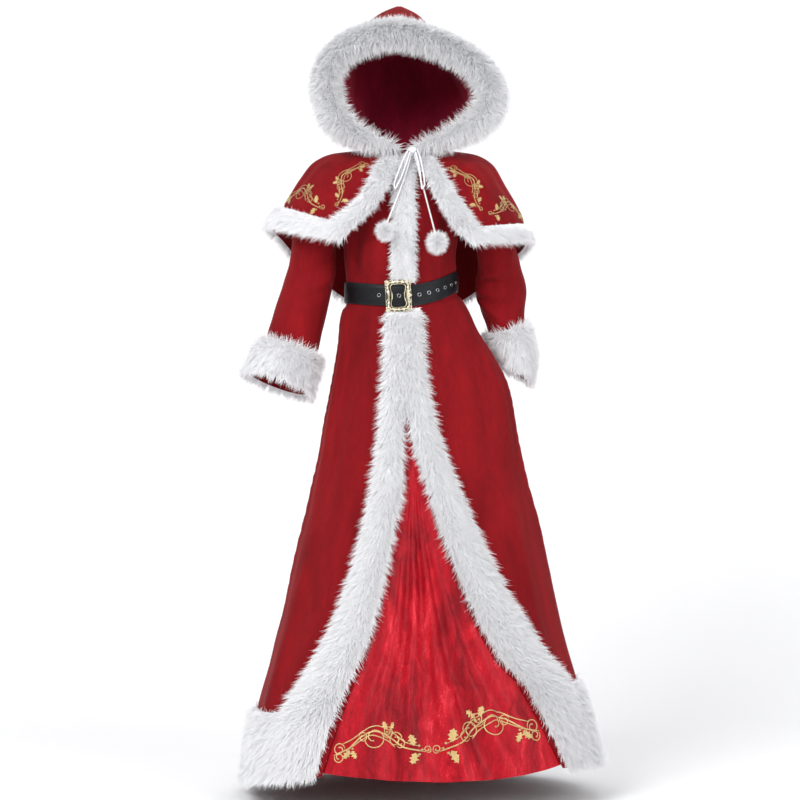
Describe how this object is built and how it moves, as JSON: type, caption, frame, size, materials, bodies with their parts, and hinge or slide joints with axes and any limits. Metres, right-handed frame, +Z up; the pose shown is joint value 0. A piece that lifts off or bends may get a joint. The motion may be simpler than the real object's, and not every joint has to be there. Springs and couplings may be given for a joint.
{
  "type": "hooded costume dress with capelet and belt, worn form",
  "caption": "Floor-length velvet gown with fur edging, a hooded capelet tied at the neck and a buckled belt, hollow as worn.",
  "frame": {"origin": "base of the wearer's neck, in the middle of the neck opening", "axes": "+Z up the body, -Y to the front, +X to the wearer's left"},
  "size_m": [0.855, 0.7559, 1.8894],
  "materials": {
    "velvet": "deep red stretch velvet, matte",
    "panne_velvet": "bright red crushed velvet, shiny",
    "fur": "white long-pile faux fur",
    "leather": "black leather-look, satin",
    "buckle_metal": "pale antique gold, cast relief",
    "eyelet_metal": "bright rolled eyelets",
    "cord": "white satin cord",
    "lining": "dark red pocket cloth"
  },
  "bodies": {
    "root": {"bodice_front_left": "velvet", "bodice_front_right": "velvet", "bodice_back": "velvet", "placket_fur": "fur", "skirt_front_left": "velvet", "skirt_front_right": "velvet", "skirt_back_left": "velvet", "skirt_back_right": "velvet", "skirt_fur_left": "fur", "skirt_fur_right": "fur", "skirt_fur_back_left": "fur", "skirt_fur_back_right": "fur", "front_panel": "panne_velvet", "pocket_bag": "lining", "sleeve_left": "velvet", "sleeve_right": "velvet", "cuff_fur_left": "fur", "cuff_fur_right": "fur", "cape_front_left": "velvet", "cape_front_right": "velvet", "cape_back": "velvet", "cape_fur_left": "fur", "cape_fur_right": "fur", "cape_fur_back": "fur", "hood_left": "velvet", "hood_right": "velvet", "hood_fur": "fur", "belt_strap": "leather", "buckle": "buckle_metal", "eyelet_0": "eyelet_metal", "eyelet_2": "eyelet_metal", "eyelet_4": "eyelet_metal", "eyelet_5": "eyelet_metal", "eyelet_6": "eyelet_metal", "eyelet_7": "eyelet_metal", "eyelet_8": "eyelet_metal", "eyelet_9": "eyelet_metal", "tie_knot": "cord", "tie_loop_left": "cord", "tie_loop_right": "cord", "tie_tail_left": "cord", "tie_tail_right": "cord", "pompom_left": "fur", "pompom_right": "fur"}
  },
  "joints": []
}
